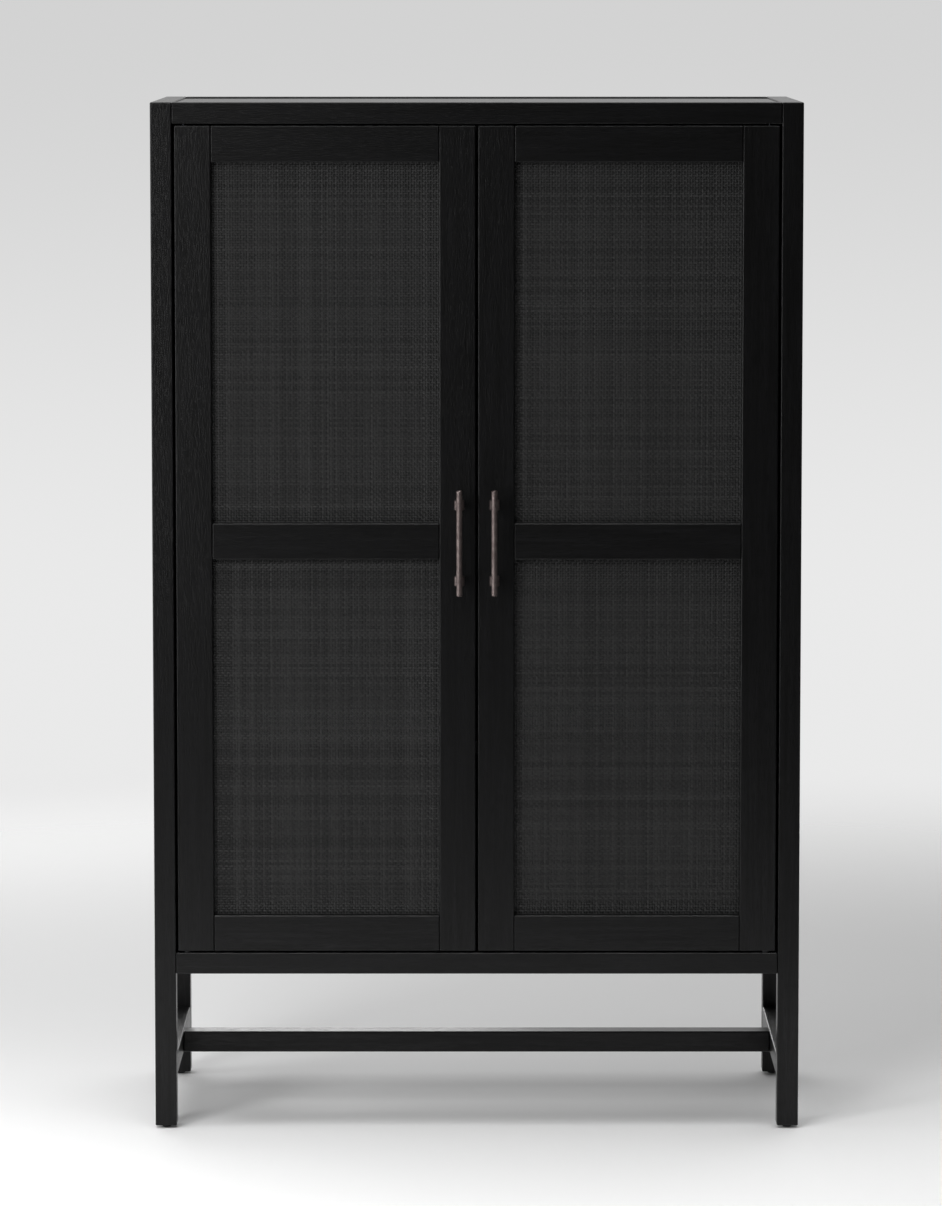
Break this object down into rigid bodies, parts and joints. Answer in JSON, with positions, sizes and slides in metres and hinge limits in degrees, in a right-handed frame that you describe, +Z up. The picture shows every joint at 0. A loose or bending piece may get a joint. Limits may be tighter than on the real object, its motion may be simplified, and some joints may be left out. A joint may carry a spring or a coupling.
{
  "type": "two-door cabinet on legs",
  "caption": "Tall free-standing cabinet with a framed case, inset woven-panel doors on pivots, bar handles, shelves on pins and a stretcher base.",
  "frame": {"origin": "on the floor, under the centre of the overall box, handles included", "axes": "+Z up, the doors face -Y, +X to the right seen from the front"},
  "size_m": [0.956, 0.438, 1.524],
  "materials": {
    "stained_timber": "black-stained open-grain hardwood, satin lacquer",
    "stained_veneer": "black-stained veneered board, satin lacquer",
    "woven_cane": "black plain-woven paper-cord panel, matt",
    "black_board": "black painted hardboard, matt",
    "dark_bronze": "oil-rubbed bronze plated zinc, satin",
    "beech_dowel": "fluted beech dowel, bare",
    "zinc_steel": "bright zinc-plated steel",
    "black_steel": "black oxide steel",
    "magnet_iron": "sintered ferrite magnet",
    "black_plastic": "black moulded acetal and polyethylene"
  },
  "bodies": {
    "cabinet": {"back_panel_screws": "black_steel", "bottom_back_rail": "stained_timber", "bottom_front_rail": "stained_timber", "bottom_panel": "stained_veneer", "catch_housing": "black_plastic", "catch_magnets": "magnet_iron", "foot_glides": "black_plastic", "frame_dowels": "beech_dowel", "hardware_screws": "black_steel", "hinge_pivots": "black_steel", "left_back_post": "stained_timber", "left_bottom_side_rail": "stained_timber", "left_front_post": "stained_timber", "left_side_panel": "stained_veneer", "left_stretcher": "stained_timber", "left_top_side_rail": "stained_timber", "long_stretcher": "stained_timber", "lower_back_panel": "black_board", "middle_shelf": "stained_veneer", "pivot_washers": "black_plastic", "right_back_post": "stained_timber", "right_bottom_side_rail": "stained_timber", "right_front_post": "stained_timber", "right_side_panel": "stained_veneer", "right_stretcher": "stained_timber", "right_top_side_rail": "stained_timber", "shelf_pins": "zinc_steel", "top_back_rail": "stained_timber", "top_front_rail": "stained_timber", "top_panel": "stained_veneer", "upper_back_panel": "black_board"},
    "left_door": {"left_door_bottom_rail": "stained_timber", "left_door_hinge_stile": "stained_timber", "left_door_lock_stile": "stained_timber", "left_door_middle_rail": "stained_timber", "left_door_top_rail": "stained_timber", "left_handle_bar": "dark_bronze", "left_handle_posts": "dark_bronze", "left_handle_screws": "black_steel", "left_lower_woven_panel": "woven_cane", "left_panel_beads": "stained_timber", "left_pivot_bushes": "zinc_steel", "left_strike_plate": "zinc_steel", "left_upper_woven_panel": "woven_cane"},
    "right_door": {"right_door_bottom_rail": "stained_timber", "right_door_hinge_stile": "stained_timber", "right_door_lock_stile": "stained_timber", "right_door_middle_rail": "stained_timber", "right_door_top_rail": "stained_timber", "right_handle_bar": "dark_bronze", "right_handle_posts": "dark_bronze", "right_handle_screws": "black_steel", "right_lower_woven_panel": "woven_cane", "right_panel_beads": "stained_timber", "right_pivot_bushes": "zinc_steel", "right_strike_plate": "zinc_steel", "right_upper_woven_panel": "woven_cane"},
    "upper_shelf": {"upper_shelf": "stained_veneer"},
    "lower_shelf": {"lower_shelf": "stained_veneer"}
  },
  "joints": [
    {"name": "left_door_swing", "type": "hinge", "parent": "cabinet", "child": "left_door", "pos_m": [-0.429, -0.178, 0.8787], "axis": [0, 0, -1], "range_deg": [0, 110]},
    {"name": "right_door_swing", "type": "hinge", "parent": "cabinet", "child": "right_door", "pos_m": [0.429, -0.178, 0.8787], "axis": [0, 0, 1], "range_deg": [0, 110]},
    {"name": "upper_shelf_lift", "type": "slide", "parent": "cabinet", "child": "upper_shelf", "axis": [0, 0, 1], "range_m": [0, 0.26]},
    {"name": "lower_shelf_lift", "type": "slide", "parent": "cabinet", "child": "lower_shelf", "axis": [0, 0, 1], "range_m": [0, 0.26]}
  ]
}
